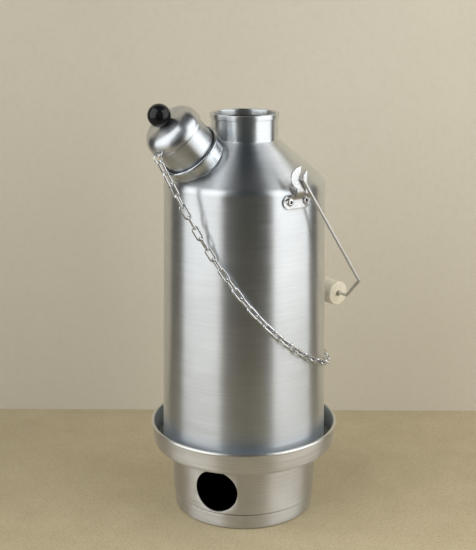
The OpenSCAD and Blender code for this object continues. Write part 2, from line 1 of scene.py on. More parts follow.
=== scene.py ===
import json
import math

import bmesh
import bpy
import numpy as np
from mathutils import Matrix, Vector


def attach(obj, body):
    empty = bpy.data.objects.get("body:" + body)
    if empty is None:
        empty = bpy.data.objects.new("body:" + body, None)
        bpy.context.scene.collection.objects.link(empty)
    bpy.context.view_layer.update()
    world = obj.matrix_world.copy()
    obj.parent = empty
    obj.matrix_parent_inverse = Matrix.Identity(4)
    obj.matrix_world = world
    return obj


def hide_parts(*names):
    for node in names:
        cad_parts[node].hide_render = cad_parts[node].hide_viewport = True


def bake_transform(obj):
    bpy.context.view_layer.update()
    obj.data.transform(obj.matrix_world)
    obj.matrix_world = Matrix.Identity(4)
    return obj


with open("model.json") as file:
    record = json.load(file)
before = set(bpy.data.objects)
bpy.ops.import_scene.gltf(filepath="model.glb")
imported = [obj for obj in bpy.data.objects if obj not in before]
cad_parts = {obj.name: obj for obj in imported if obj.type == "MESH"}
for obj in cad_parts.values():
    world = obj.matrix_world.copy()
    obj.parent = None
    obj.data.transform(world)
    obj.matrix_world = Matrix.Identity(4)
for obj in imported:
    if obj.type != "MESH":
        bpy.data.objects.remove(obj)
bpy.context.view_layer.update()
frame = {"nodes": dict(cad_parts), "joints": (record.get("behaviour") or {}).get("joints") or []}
joints = {joint["name"]: joint for joint in frame["joints"]}
mm = 0.001  # every size below is in millimetres, in the kettle's own frame
nearAxis = 1e-6
leastRound = 0.1
smoothAngle = 32  # degrees; edges that bend less look smooth
print("frame loaded:", len(frame["nodes"]), "nodes")


# plane paths, as (radius, height) points
def roundedPath(points, radii, steps=10):
    points = [Vector(p) for p in points]
    path = []
    for i, p in enumerate(points):
        if radii[i] <= 0:
            path.append(p)
            continue
        back = (points[i - 1] - p).normalized()
        ahead = (points[i + 1] - p).normalized()
        half = back.angle(ahead) / 2
        centre = p + (back + ahead).normalized() * radii[i] / math.sin(half)
        arm = p + back * radii[i] / math.tan(half) - centre
        sweep = (math.pi - 2 * half) * (1 if ahead.cross(back) > 0 else -1)
        for k in range(steps + 1):
            c, s = math.cos(sweep * k / steps), math.sin(sweep * k / steps)
            path.append(centre + Vector((arm.x * c - arm.y * s, arm.x * s + arm.y * c)))
    return path


def bendSign(a, b, c):
    return 1 if (b - a).cross(c - b) > 0 else -1


def shiftedPath(points, radii, distance):
    points = [Vector(p) for p in points]
    last = len(points) - 1
    moved, rounds = [], []
    for i, p in enumerate(points):
        j, k = max(i, 1), min(i, last - 1)
        before = (points[j] - points[j - 1]).normalized().orthogonal()
        after = (points[k + 1] - points[k]).normalized().orthogonal()
        middle = (before + after).normalized()
        moved.append(p + middle * distance / middle.dot(before))
        bend = bendSign(points[i - 1], p, points[i + 1]) if radii[i] else 0
        rounds.append(max(leastRound, radii[i] - distance * bend) if radii[i] else 0)
    return moved, rounds


# closed outline of a sheet whose outer face follows a path
def sheetLoop(points, radii, thickness, steps):
    inner = roundedPath(*shiftedPath(points, radii, thickness), steps)
    return roundedPath(points, radii, steps) + inner[::-1]


def arcPoints(centre, radius, start, end, steps):
    turns = [math.radians(start + (end - start) * k / steps) for k in range(steps + 1)]
    return [Vector((centre[0] + radius * math.cos(t), centre[1] + radius * math.sin(t))) for t in turns]


# mesh making
def turned(degrees, axis):
    return Matrix.Rotation(math.radians(degrees), 4, axis)


def linked(name, data):
    made = bpy.data.objects.new(name, data)
    bpy.context.scene.collection.objects.link(made)
    return made


def meshPiece(name, verts, faces, matrix=None, sharp=smoothAngle):
    mesh = bpy.data.meshes.new(name)
    mesh.from_pydata([tuple(v) for v in verts], [], faces)
    work = bmesh.new()
    work.from_mesh(mesh)
    bmesh.ops.recalc_face_normals(work, faces=work.faces)
    work.to_mesh(mesh)
    work.free()
    piece = linked(name, mesh)
    if matrix is not None:
        piece.matrix_world = matrix
    smoothPiece(piece, sharp)
    return piece


def smoothPiece(piece, sharp):
    piece.data.polygons.foreach_set("use_smooth", [True] * len(piece.data.polygons))
    piece.data.set_sharp_from_angle(angle=math.radians(sharp))


def lathePiece(name, loop, matrix=None, *, steps, sharp=smoothAngle):
    verts, rings = [], []
    for p in loop:
        count = 1 if p[0] < nearAxis else steps
        rings.append([len(verts) + k for k in range(count)])
        for k in range(count):
            turn = 2 * math.pi * k / steps
            verts.append((p[0] * mm * math.cos(turn), p[0] * mm * math.sin(turn), p[1] * mm))
    faces = []
    for i, ring in enumerate(rings):
        other = rings[(i + 1) % len(rings)]
        if len(ring) + len(other) == 2:
            continue
        for k in range(steps):
            n = (k + 1) % steps
            corners = [ring[k % len(ring)], ring[n % len(ring)], other[n % len(other)], other[k % len(other)]]
            faces.append(list(dict.fromkeys(corners)))
    return meshPiece(name, verts, faces, matrix, sharp)


def tubeRings(points, radii, closed, sides):
    points = [Vector(p) for p in points]
    count = len(points)
    rings, normal = [], None
    for i, p in enumerate(points):
        before = points[i - 1] if closed or i else p
        after = points[(i + 1) % count] if closed or i < count - 1 else p
        along = (after - before).normalized()
        if normal is None:
            normal = along.orthogonal()
        normal = (normal - along * normal.dot(along)).normalized()
        side = along.cross(normal)
        turns = [2 * math.pi * k / sides for k in range(sides)]
        rings.append([p + (normal * math.cos(t) + side * math.sin(t)) * radii[i] for t in turns])
    return rings


# tube along a path of points in metres; open ends are rounded over
def tubeMesh(points, radius, closed=False, sides=20, swell=None):
    radii = [radius * (swell(i / len(points)) if swell else 1) for i in range(len(points))]
    if not closed:
        ends = [(0.0, 0.3), (0.12, 0.72), (0.35, 0.94)]  # way in and size, as shares of the radius
        start, finish = Vector(points[0]), Vector(points[-1])
        head = (Vector(points[1]) - start).normalized()
        tail = (Vector(points[-2]) - finish).normalized()
        inside = points[1:-1]
        points = [start + head * radius * a for a, _ in ends] + list(inside)
        points += [finish + tail * radius * a for a, _ in reversed(ends)]
        radii = [radius * b for _, b in ends] + radii[1:-1] + [radius * b for _, b in reversed(ends)]
    rings = tubeRings(points, radii, closed, sides)
    verts = [v for ring in rings for v in ring]
    faces = []
    for i in range(len(rings) if closed else len(rings) - 1):
        a, b = i * sides, (i + 1) % len(rings) * sides
        for k in range(sides):
            n = (k + 1) % sides
            faces.append([a + k, a + n, b + n, b + k])
    if not closed:
        faces.append(list(range(sides)))
        faces.append([len(verts) - sides + k for k in range(sides)])
    return verts, faces


def cutHole(piece, radius, matrix, length, sides=96):
    bpy.ops.mesh.primitive_cylinder_add(vertices=sides, radius=radius * mm, depth=length * mm)
    cutter = bpy.context.object
    cutter.matrix_world = matrix
    cut = piece.modifiers.new("hole", "BOOLEAN")
    cut.object = cutter
    cut.solver = "EXACT"
    bakeModifiers(piece)
    bpy.data.objects.remove(cutter)
    smoothPiece(piece, smoothAngle)


def bakeModifiers(piece):
    bpy.context.view_layer.update()
    shaped = piece.evaluated_get(bpy.context.evaluated_depsgraph_get())
    mesh = bpy.data.meshes.new_from_object(shaped)
    piece.modifiers.clear()
    piece.data = mesh


def bevelEdges(piece, width, angle, segments, material=-1):
    edge = piece.modifiers.new("edge", "BEVEL")
    edge.width = width * mm
    edge.segments = segments
    edge.limit_method = "ANGLE"
    edge.angle_limit = math.radians(angle)
    edge.material = material


# node helpers
def feed(tree, value, socket):
    if isinstance(value, bpy.types.NodeSocket):
        tree.links.new(value, socket)
    else:
        socket.default_value = value


def mathNode(tree, operation, first, second=0.0):
    node = tree.nodes.new("ShaderNodeMath")
    node.operation = operation
    feed(tree, first, node.inputs[0])
    feed(tree, second, node.inputs[1])
    return node.outputs[0]


def times(tree, first, second):
    return mathNode(tree, "MULTIPLY", first, second)


# sum of values, each times its own weight
def weighted(tree, *pairs):
    total = None
    for value, weight in pairs:
        part = times(tree, value, weight)
        total = part if total is None else mathNode(tree, "ADD", total, part)
    return total


def rangeNode(tree, value, low, high, toLow, toHigh):
    node = tree.nodes.new("ShaderNodeMapRange")
    feed(tree, value, node.inputs["Value"])
    for name, number in (("From Min", low), ("From Max", high), ("To Min", toLow), ("To Max", toHigh)):
        node.inputs[name].default_value = number
    return node.outputs["Result"]


def noiseNode(tree, vector, scale, detail, rough=0.5):
    node = tree.nodes.new("ShaderNodeTexNoise")
    feed(tree, vector, node.inputs["Vector"])
    feed(tree, scale, node.inputs["Scale"])
    node.inputs["Detail"].default_value = detail
    node.inputs["Roughness"].default_value = rough
    return node.outputs["Fac"]


def mixColour(tree, share, first, second, blend="MIX"):
    node = tree.nodes.new("ShaderNodeMix")
    node.data_type = "RGBA"
    node.blend_type = blend
    feed(tree, share, node.inputs["Factor"])
    for value, socket in ((first, node.inputs["A"]), (second, node.inputs["B"])):
        feed(tree, value if isinstance(value, bpy.types.NodeSocket) else (*value, 1.0), socket)
    return node.outputs["Result"]


def newGroup(name, inputs, outputs):
    group = bpy.data.node_groups.new(name, "ShaderNodeTree")
    for label, number in inputs:
        socket = group.interface.new_socket(name=label, in_out="INPUT", socket_type="NodeSocketFloat")
        socket.default_value = number
    for label in outputs:
        group.interface.new_socket(name=label, in_out="OUTPUT", socket_type="NodeSocketFloat")
    return group, group.nodes.new("NodeGroupInput"), group.nodes.new("NodeGroupOutput")


def combine(tree, x, y, z):
    node = tree.nodes.new("ShaderNodeCombineXYZ")
    for value, socket in zip((x, y, z), node.inputs):
        feed(tree, value, socket)
    return node.outputs[0]


def objectPoint(tree):
    split = tree.nodes.new("ShaderNodeSeparateXYZ")
    coords = tree.nodes.new("ShaderNodeTexCoord")
    feed(tree, coords.outputs["Object"], split.inputs[0])
    return coords.outputs["Object"], split.outputs


# lines left by spinning and brushing round an axis, with broad clouds in the polish
spunLines = {
    "slant": 1.3, "leastReach": 0.1, "fineShare": 0.5, "coarseStep": 0.26, "cloudStep": 22.0,
    "cloudSize": 1.3, "fine": (3.0, 0.65), "coarse": (2.0, 0.5), "clouds": (3.0, 0.55),
}


def makeSpunGroup(s):
    inputs = [("Lines Per Mm", 3.0), ("Arc", 1.6)]
    tree, given, made = newGroup("spunLines", inputs, ["Lines", "Clouds", "Height"])
    axes = objectPoint(tree)[1]
    squares = [mathNode(tree, "POWER", axis, 2.0) for axis in axes[:2]]
    reach = mathNode(tree, "SQRT", mathNode(tree, "ADD", *squares))
    reach = mathNode(tree, "MAXIMUM", reach, s["leastReach"] * mm)
    across = mathNode(tree, "SUBTRACT", axes[2], times(tree, reach, s["slant"]))
    turn = [mathNode(tree, "DIVIDE", axis, reach) for axis in axes[:2]]
    perMetre = times(tree, given.outputs["Lines Per Mm"], 1 / mm)
    step = times(tree, across, perMetre)
    arc = [times(tree, axis, given.outputs["Arc"]) for axis in turn]
    fine = noiseNode(tree, combine(tree, step, *arc), 1.0, *s["fine"])
    wide = times(tree, step, s["coarseStep"])
    coarse = noiseNode(tree, combine(tree, wide, *arc), 1.0, *s["coarse"])
    lines = weighted(tree, (fine, s["fineShare"]), (coarse, 1 - s["fineShare"]))
    broad = times(tree, across, s["cloudStep"])
    clouds = noiseNode(tree, combine(tree, broad, *turn), s["cloudSize"], *s["clouds"])
    for label, value in (("Lines", lines), ("Clouds", clouds), ("Height", fine)):
        feed(tree, value, made.inputs[label])
    return tree


# finger marks, water spots and fine scratches on plated and moulded pieces
handMarks = {
    "scratchPull": (0.12, 1.0, 0.6), "smudges": (4.0, 0.6), "scratches": (2.0, 0.7),
    "smudgeSpan": (0.35, 0.7), "scratchSpan": (0.45, 0.75),
}


def makeMarksGroup(s):
    inputs = [("Size", 120.0), ("Scratch Size", 900.0)]
    tree, given, made = newGroup("handMarks", inputs, ["Smudges", "Scratches"])
    point, axes = objectPoint(tree)
    smudges = noiseNode(tree, point, given.outputs["Size"], *s["smudges"])
    pulled = [times(tree, axis, pull) for axis, pull in zip(axes, s["scratchPull"])]
    scratches = noiseNode(tree, combine(tree, *pulled), given.outputs["Scratch Size"], *s["scratches"])
    feed(tree, rangeNode(tree, smudges, *s["smudgeSpan"], 0.0, 1.0), made.inputs["Smudges"])
    feed(tree, rangeNode(tree, scratches, *s["scratchSpan"], 0.0, 1.0), made.inputs["Scratches"])
    return tree


spunGroup = makeSpunGroup(spunLines)
marksGroup = makeMarksGroup(handMarks)
print("node groups:", spunGroup.name, marksGroup.name)


def newMaterial(name):
    material = bpy.data.materials.new(name)
    material.use_nodes = True
    tree = material.node_tree
    return material, tree, tree.nodes["Principled BSDF"]


def placeGroup(tree, group, **values):
    node = tree.nodes.new("ShaderNodeGroup")
    node.node_tree = group
    for label, number in values.items():
        node.inputs[label.replace("_", " ")].default_value = number
    return node.outputs


def addBump(tree, shader, height, distance, strength):
    bump = tree.nodes.new("ShaderNodeBump")
    bump.inputs["Strength"].default_value = strength
    bump.inputs["Distance"].default_value = distance
    feed(tree, height, bump.inputs["Height"])
    feed(tree, bump.outputs[0], shader.inputs["Normal"])


# aluminium spun on a lathe: its lines run round the axis, so highlights stretch along it
spunLook = {
    "smearSize": 34.0, "lineShare": 0.65, "span": (0.3, 0.7), "smearRough": 0.03, "bump": 0.6, "turn": 0.25,
}


def spunMetal(name, dark, light, rough, stretch, lines, depth, metallic=1.0):
    material, tree, shader = newMaterial(name)
    marks = placeGroup(tree, spunGroup, Lines_Per_Mm=lines)
    smears = placeGroup(tree, marksGroup, Size=spunLook["smearSize"])
    lineShare = spunLook["lineShare"]
    tone = weighted(tree, (marks["Lines"], lineShare), (marks["Clouds"], 1 - lineShare))
    share = rangeNode(tree, tone, *spunLook["span"], 0.0, 1.0)
    feed(tree, mixColour(tree, share, dark, light), shader.inputs["Base Color"])
    dull = rangeNode(tree, marks["Lines"], *spunLook["span"], *rough)
    dull = weighted(tree, (dull, 1.0), (smears["Smudges"], spunLook["smearRough"]))
    feed(tree, dull, shader.inputs["Roughness"])
    shader.inputs["Metallic"].default_value = metallic
    shader.inputs["Anisotropic"].default_value = stretch
    shader.inputs["Anisotropic Rotation"].default_value = spunLook["turn"]
    tangent = tree.nodes.new("ShaderNodeTangent")
    tangent.direction_type = "RADIAL"
    tangent.axis = "Z"
    feed(tree, tangent.outputs[0], shader.inputs["Tangent"])
    addBump(tree, shader, marks["Height"], depth * mm, spunLook["bump"])
    return material


# any surface with smudges and fine scratches
def markedSurface(name, dark, light, rough, depth, look):
    material, tree, shader = newMaterial(name)
    marks = placeGroup(tree, marksGroup, Size=look["smearSize"], Scratch_Size=look["scratchSize"])
    feed(tree, mixColour(tree, marks["Smudges"], light, dark), shader.inputs["Base Color"])
    dull = rangeNode(tree, marks["Smudges"], 0.0, 1.0, *rough)
    dull = weighted(tree, (dull, 1.0), (marks["Scratches"], look["scratchRough"]))
    feed(tree, dull, shader.inputs["Roughness"])
    addBump(tree, shader, marks["Scratches"], depth * mm, look["bump"])
    return material, shader


# bright plated steel with finger marks
def platedMetal(name, dark, light, rough, depth):
    look = {"smearSize": 420.0, "scratchSize": 2600.0, "scratchRough": 0.06, "bump": 0.35}
    material, shader = markedSurface(name, dark, light, rough, depth, look)
    shader.inputs["Metallic"].default_value = 1.0
    return material


# moulded plastic with a fine texture
def mouldedPlastic(name, dark, light, rough, grain, depth, shine):
    look = {"smearSize": grain, "scratchSize": grain * 6, "scratchRough": 0.04, "bump": 0.5}
    material, shader = markedSurface(name, dark, light, rough, depth, look)
    shader.inputs["Specular IOR Level"].default_value = shine
    return material


shellFinish = spunMetal(
    "spunShell", dark=(0.50, 0.523, 0.54), light=(0.65, 0.68, 0.70), rough=(0.28, 0.43),
    stretch=0.94, lines=2.6, depth=0.0028)
baseFinish = spunMetal(
    "spunBase", dark=(0.57, 0.57, 0.555), light=(0.78, 0.78, 0.76), rough=(0.28, 0.45),
    stretch=0.87, lines=2.2, depth=0.003)
# the saucer's metal; painted shade and a painted reflection are added to it below
saucerFinishAndShade = spunMetal(
    "spunSaucerShaded", dark=(0.46, 0.47, 0.435), light=(0.60, 0.61, 0.575), rough=(0.45, 0.55),
    stretch=0.2, lines=1.8, depth=0.004, metallic=0.6)
capFinish = spunMetal(
    "spunCap", dark=(0.43, 0.449, 0.464), light=(0.62, 0.647, 0.665), rough=(0.26, 0.35),
    stretch=0.85, lines=2.6, depth=0.003)
collarFinish = spunMetal(
    "turnedCollar", dark=(0.40, 0.43, 0.46), light=(0.56, 0.60, 0.635), rough=(0.20, 0.28),
    stretch=0.7, lines=3.0, depth=0.003)
flueFinish = spunMetal(
    "spunFlue", dark=(0.58, 0.61, 0.61), light=(0.76, 0.79, 0.79), rough=(0.24, 0.31),
    stretch=0.75, lines=2.2, depth=0.002)
discFinish = spunMetal(
    "whistleDisc", dark=(0.55, 0.55, 0.55), light=(0.72, 0.72, 0.72), rough=(0.35, 0.45),
    stretch=0.5, lines=2.0, depth=0.003)
fittingFinish = platedMetal(
    "platedFitting", dark=(0.42, 0.43, 0.436), light=(0.53, 0.54, 0.546), rough=(0.26, 0.36), depth=0.005)
chainFinish = platedMetal(
    "platedChain", dark=(0.56, 0.565, 0.57), light=(0.72, 0.725, 0.73), rough=(0.14, 0.24), depth=0.004)
rivetFinish = platedMetal(
    "rivetHead", dark=(0.46, 0.465, 0.47), light=(0.60, 0.605, 0.61), rough=(0.22, 0.32), depth=0.006)
# dirt and painted shade in the foot's crease: a darker, duller metal
creaseDirtAndShade = platedMetal(
    "footCreaseDirtAndShade", dark=(0.30, 0.29, 0.26), light=(0.42, 0.41, 0.37), rough=(0.45, 0.6), depth=0.004)
# bare cut metal, made brighter than the base as a painted highlight on the bevelled rim of the fire hole
edgeHighlight = platedMetal(
    "cutEdgeHighlight", dark=(0.80, 0.80, 0.79), light=(0.90, 0.90, 0.89), rough=(0.32, 0.42), depth=0.004)
# painted shade: near-black for the pits of the rivets
rivetPitShade = platedMetal(
    "paintedRivetPit", dark=(0.02, 0.02, 0.02), light=(0.05, 0.05, 0.05), rough=(0.5, 0.7), depth=0.006)
wireFinish = platedMetal(
    "drawnWire", dark=(0.58, 0.585, 0.59), light=(0.66, 0.665, 0.67), rough=(0.34, 0.40), depth=0.0004)
screwFinish = platedMetal(
    "plainSteel", dark=(0.40, 0.40, 0.40), light=(0.55, 0.55, 0.55), rough=(0.28, 0.4), depth=0.006)
knobFinish = mouldedPlastic(
    "blackBall", dark=(0.004, 0.004, 0.005), light=(0.009, 0.0095, 0.010), rough=(0.12, 0.20),
    grain=160.0, depth=0.002, shine=0.26)
gripFinish = mouldedPlastic(
    "creamSleeve", dark=(0.68, 0.62, 0.46), light=(0.79, 0.74, 0.59), rough=(0.42, 0.58),
    grain=260.0, depth=0.02, shine=0.4)
sootFinish = mouldedPlastic(
    "sootedInside", dark=(0.0015, 0.0015, 0.0015), light=(0.006, 0.0055, 0.005), rough=(0.8, 0.95),
    grain=60.0, depth=0.05, shine=0.04)
# painted shade and painted reflection: "dull" is the share of the colour kept at the saucer's floor,
# "mirrored" the painted colour that reflections see
saucerShade = {"low": 62.0, "high": 80.0, "dull": 0.35, "mirrored": (0.90, 0.96, 0.985), "mirroredMetal": 0.1}


# painted shade and painted reflection: the saucer's colour darkens towards its floor, and reflections see it
# in a bright painted colour, less metallic, which lights the foot of the shell that mirrors it
def shadeSaucer(material, s):
    tree = material.node_tree
    shader = tree.nodes["Principled BSDF"]
    # painted shade: darker towards the saucer's floor
    share = rangeNode(tree, objectPoint(tree)[1][2], s["low"] * mm, s["high"] * mm, s["dull"], 1.0)
    paint = shader.inputs["Base Color"].links[0].from_socket
    paint = mixColour(tree, 1.0, paint, combine(tree, share, share, share), "MULTIPLY")
    # painted reflection: glossy rays see a bright, less metallic saucer
    mirrored = tree.nodes.new("ShaderNodeLightPath").outputs["Is Glossy Ray"]
    feed(tree, mixColour(tree, mirrored, paint, s["mirrored"]), shader.inputs["Base Color"])
    bare = shader.inputs["Metallic"].default_value
    feed(tree, rangeNode(tree, mirrored, 0.0, 1.0, bare, s["mirroredMetal"]), shader.inputs["Metallic"])


shadeSaucer(saucerFinishAndShade, saucerShade)
print("materials:", len(bpy.data.materials))


# faces keep their material index only while their slots stay
def coat(piece, *materials):
    for material in materials:
        piece.data.materials.append(material)


def dress(piece, node, body, slot, *materials):
    coat(piece, *materials)
    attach(piece, body)
    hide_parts(node)
    print("piece:", piece.name, len(piece.data.polygons), "faces")


# camera, as the photograph was taken
view = {
    "place": (-562.7, -720.2, 464.3),
    "aim": (0.5896, 0.7640, -0.2621),
    "roll": 0.095,
    "lens": 69.74,
    "sensor": 36.0,
    "nearest": 10.0,
}
camera = linked("camera", bpy.data.cameras.new("camera"))
camera.data.lens = view["lens"]
camera.data.sensor_width = view["sensor"]
camera.location = Vector(view["place"]) * mm
aim = Vector(view["aim"]).to_track_quat("-Z", "Y")
camera.rotation_euler = (aim.to_matrix() @ Matrix.Rotation(math.radians(view["roll"]), 3, "Z")).to_euler()
camera.data.clip_start = view["nearest"] * mm
bpy.context.scene.camera = camera
print("camera placed")

# fire base
base = {
    "foot": 63.7, "top": 66.5, "wall": 60.0, "sheet": 1.4,
    "footBand": 13.5, "footStep": 0.8, "footLean": 0.5, "footRound": 2.5, "groove": 0.7, "grooveRound": 0.1,
    "stepRound": 0.3, "throatRound": 0.5, "rim": 84.2, "rimHeight": 79.7, "saucerLean": 2.0,
    "saucerRound": 5.0, "bead": 1.5, "hole": 39.4, "holeHeight": 35.5, "holeTurn": 30.0, "holeEdge": 0.7,
    "edgeAngle": 60.0, "skin": 0.8, "sootGap": 1.0, "rimLean": 0.09, "creaseLow": 0.02, "creaseHigh": 0.2,
}


def makeFireBase(s):
    bandTop = s["foot"] + s["footLean"]
    grooveTop = s["footBand"] + s["footStep"] + s["groove"]
    path = [(0, 0), (s["foot"], 0), (bandTop, s["footBand"]),
            (bandTop - s["groove"], s["footBand"] + s["groove"]),
            (bandTop + s["footStep"], grooveTop), (s["top"], s["wall"]),
            (s["rim"] - s["saucerLean"], s["wall"]), (s["rim"], s["rimHeight"])]
    radii = [0, s["footRound"], s["grooveRound"], s["grooveRound"], s["stepRound"], s["throatRound"],
             s["saucerRound"], 0]
    outer = roundedPath(path, radii)
    inner = roundedPath(*shiftedPath(path, radii, s["sheet"]))
    beadCentre = (s["rim"] - s["sheet"] / 2, s["rimHeight"])
    tuck = math.degrees(math.acos(s["sheet"] / 2 / s["bead"]))
    bead = arcPoints(beadCentre, s["bead"], -tuck, 180 + tuck, 28)
    piece = lathePiece("fireBase", outer[:-1] + bead + inner[-2::-1], steps=224)
    finishes = [baseFinish, sootFinish, edgeHighlight, saucerFinishAndShade, creaseDirtAndShade]
    coat(piece, *finishes)
    out = Matrix.Translation((s["foot"] * mm, 0, s["holeHeight"] * mm)) @ turned(90, "Y")
    cutHole(piece, s["hole"] / 2, turned(180 + s["holeTurn"], "Z") @ out, s["foot"])
    skin = s["sheet"] * s["skin"]
    for face in piece.data.polygons:
        reach, z = math.hypot(face.center.x, face.center.y) / mm, face.center.z / mm
        wall = bandTop + (s["top"] - bandTop) * z / s["wall"]
        finish = baseFinish
        if skin < z < s["wall"] - s["sootGap"] and reach < wall - skin:
            finish = sootFinish
        # faces inside the saucer get its metal, with its painted shade and painted reflection
        if z > s["wall"] + skin and reach < s["rim"] - s["sheet"] - (s["rimHeight"] - z) * s["rimLean"]:
            finish = saucerFinishAndShade
        # the foot's crease is painted darker: dirt together with painted shade
        inCrease = s["footBand"] + s["creaseLow"] < z < grooveTop - s["creaseHigh"]
        if inCrease and reach > bandTop - 2 * s["groove"]:
            finish = creaseDirtAndShade
        face.material_index = finishes.index(finish)
    # edges sharper than edgeAngle, mainly the fire hole's rim, are bevelled and given the brighter metal: a
    # painted highlight
    bevelEdges(piece, s["holeEdge"], s["edgeAngle"], 2, finishes.index(edgeHighlight))
    bakeModifiers(piece)
    smoothPiece(piece, smoothAngle)
    return piece


dress(makeFireBase(base), "fire_base", "base", "base_aluminium")

# kettle shell, from its foot to the neck
shell = {
    "low": 61.6, "flange": 60.0, "foot": 74.0, "top": 70.0, "shoulder": 303.1, "neck": 29.0,
    "neckFoot": 338.1, "end": 359.05, "sheet": 1.2, "footRound": 7.0, "shoulderRound": 9.0, "neckRound": 2.0,
    "pour": 20.0,
}
spout = {
    "tilt": 44.0, "outAt": 47.6, "length": 15.0, "bore": 24.4, "wall": 1.0, "collar": 9.5, "collarWall": 1.0,
    "fit": 0.05, "lip": 1.3, "seat": 21.0, "tuck": 1.2, "saddle": 2.4, "saddleLow": 0.4, "lap": 0.3,
    "sink": 0.04, "footRound": 0.3, "footReach": 0.6,
}
coneSlope = (shell["neckFoot"] - shell["shoulder"]) / (shell["top"] - shell["neck"])
spout["rise"] = shell["neckFoot"] - (spout["outAt"] - shell["neck"]) * coneSlope
spoutFrame = Matrix.Translation((-spout["outAt"] * mm, 0, spout["rise"] * mm)) @ turned(-spout["tilt"], "Y")
shellPath = [(shell["flange"], shell["low"]), (shell["foot"], shell["low"]),
             (shell["top"], shell["shoulder"]), (shell["neck"], shell["neckFoot"]),
             (shell["neck"], shell["end"])]
shellRadii = [0, shell["footRound"], shell["shoulderRound"], shell["neckRound"], 0]


def shellRadius(z):
    share = (z - shell["low"]) / (shell["shoulder"] - shell["low"])
    return shell["foot"] + (shell["top"] - shell["foot"]) * share


def makeShell(s):
    piece = lathePiece("kettleShell", sheetLoop(shellPath, shellRadii, s["sheet"], 14), steps=256)
    cutHole(piece, s["pour"], spoutFrame, 2 * spout["length"])
    return piece


dress(makeShell(shell), "outer_shell", "kettle", "shell_aluminium", shellFinish)

# flue, with its rim rolled over the neck
flue = {"foot": 58.0, "sheet": 1.2, "straight": 4.0, "fit": 0.05, "footRound": 3.0, "neckRound": 12.0,
        "band": 4.4, "bandWall": 1.0, "bandRound": 0.3, "edge": 0.8, "lip": 1.2, "sooted": 5.2, "top": 360.1,
        "flange": 67.0}


def makeFlue(s):
    bore = shell["neck"] - shell["sheet"] - s["fit"]
    floor = shell["low"] + shell["sheet"] + s["sheet"]
    path = [(s["flange"], floor), (s["foot"], floor), (bore, shell["neckFoot"] - s["straight"]),
            (bore, s["top"])]
    radii = [0, s["footRound"], s["neckRound"], 0]
    inner = roundedPath(*shiftedPath(path, radii, s["sheet"]))
    outer = roundedPath(path[:3] + [(bore, s["top"] - s["bandWall"])], radii)
    bandIn = shell["neck"] + s["fit"]
    bandOut = bandIn + s["bandWall"]
    roll = roundedPath(
        [(bandIn, s["top"] - s["bandWall"]), (bandIn, s["top"] - s["band"]), (bandOut, s["top"] - s["band"]),
         (bandOut, s["top"]), (bore - s["sheet"], s["top"]), (bore - s["sheet"], s["top"] - s["sooted"])],
        [0, 0, s["bandRound"], s["edge"], s["lip"], 0], 6)
    steps = 192
    piece = lathePiece("flue", outer + roll + inner[-2::-1], steps=steps)
    bare = len(outer) + len(roll) - 2  # the last run before the soot
    for face in piece.data.polygons:
        face.material_index = min(2, max(0, face.index // steps - bare + 1))
    return piece


dress(makeFlue(flue), "flue", "kettle", "flue_aluminium", shellFinish, flueFinish, sootFinish)


shellLine = roundedPath(shellPath, shellRadii, 14)


# distance of a point from the shell's outer face, less than nothing inside it
def shellGap(point):
    reach = math.hypot(point.x, point.y) / mm
    z = point.z / mm
    best = None
    for a, b in zip(shellLine[1:], shellLine[2:]):
        d = b - a
        p = Vector((reach, z)) - a
        t = min(1.0, max(0.0, p.dot(d) / d.length_squared))
        gap = p - d * t
        size = gap.length * (1 if d.cross(p) < 0 else -1)
        if best is None or gap.length < abs(best):
            best = size
    return best


# height of that face in the spout's frame, at a turn and a reach round its axis
def shellDepth(turn, reach, halvings=24):
    high, low = spout["length"], -2 * spout["length"]
    for _ in range(halvings):
        middle = (high + low) / 2
        local = Vector((-reach * math.cos(turn), reach * math.sin(turn), middle)) * mm
        if shellGap(spoutFrame @ local) > 0:
            high = middle
        else:
            low = middle
    return high


# spout neck, which narrows under its collar to a seat on the cone
def makeSpoutNeck(s, steps=128, bends=10):
    out = s["bore"] + s["wall"]
    foot = s["length"] - s["collar"]
    end = s["length"] - 2 * s["lip"]
    verts, faces = [], []
    for k in range(steps):
        turn = 2 * math.pi * k / steps
        low = foot - s["saddleLow"] - s["saddle"] * math.sin(turn) ** 2
        under = Vector((out, low + s["lap"]))
        rest = Vector((s["seat"], shellDepth(turn, s["seat"]) - s["sink"]))
        knee = Vector((s["seat"] + s["tuck"], min(low, rest.y + s["tuck"])))
        line = [Vector((s["bore"], end)), Vector((out, end))]
        for b in range(bends + 1):
            u = b / bends
            line.append(under * (1 - u) ** 2 + knee * 2 * u * (1 - u) + rest * u ** 2)
        line.append(Vector((s["seat"] - s["wall"], rest.y)))
        line.append(Vector((s["bore"], under.y + s["wall"])))
        for p in line:
            verts.append(spoutFrame @ (Vector((-p.x * math.cos(turn), p.x * math.sin(turn), p.y)) * mm))
    rows = len(line)
    for k in range(steps):
        a, b = k * rows, (k + 1) % steps * rows
        for i in range(rows):
            n = (i + 1) % rows
            faces.append([a + i, a + n, b + n, b + i])
    return meshPiece("spoutNeck", verts, faces)


dress(makeSpoutNeck(spout), "spout_neck", "kettle", "shell_aluminium", shellFinish)


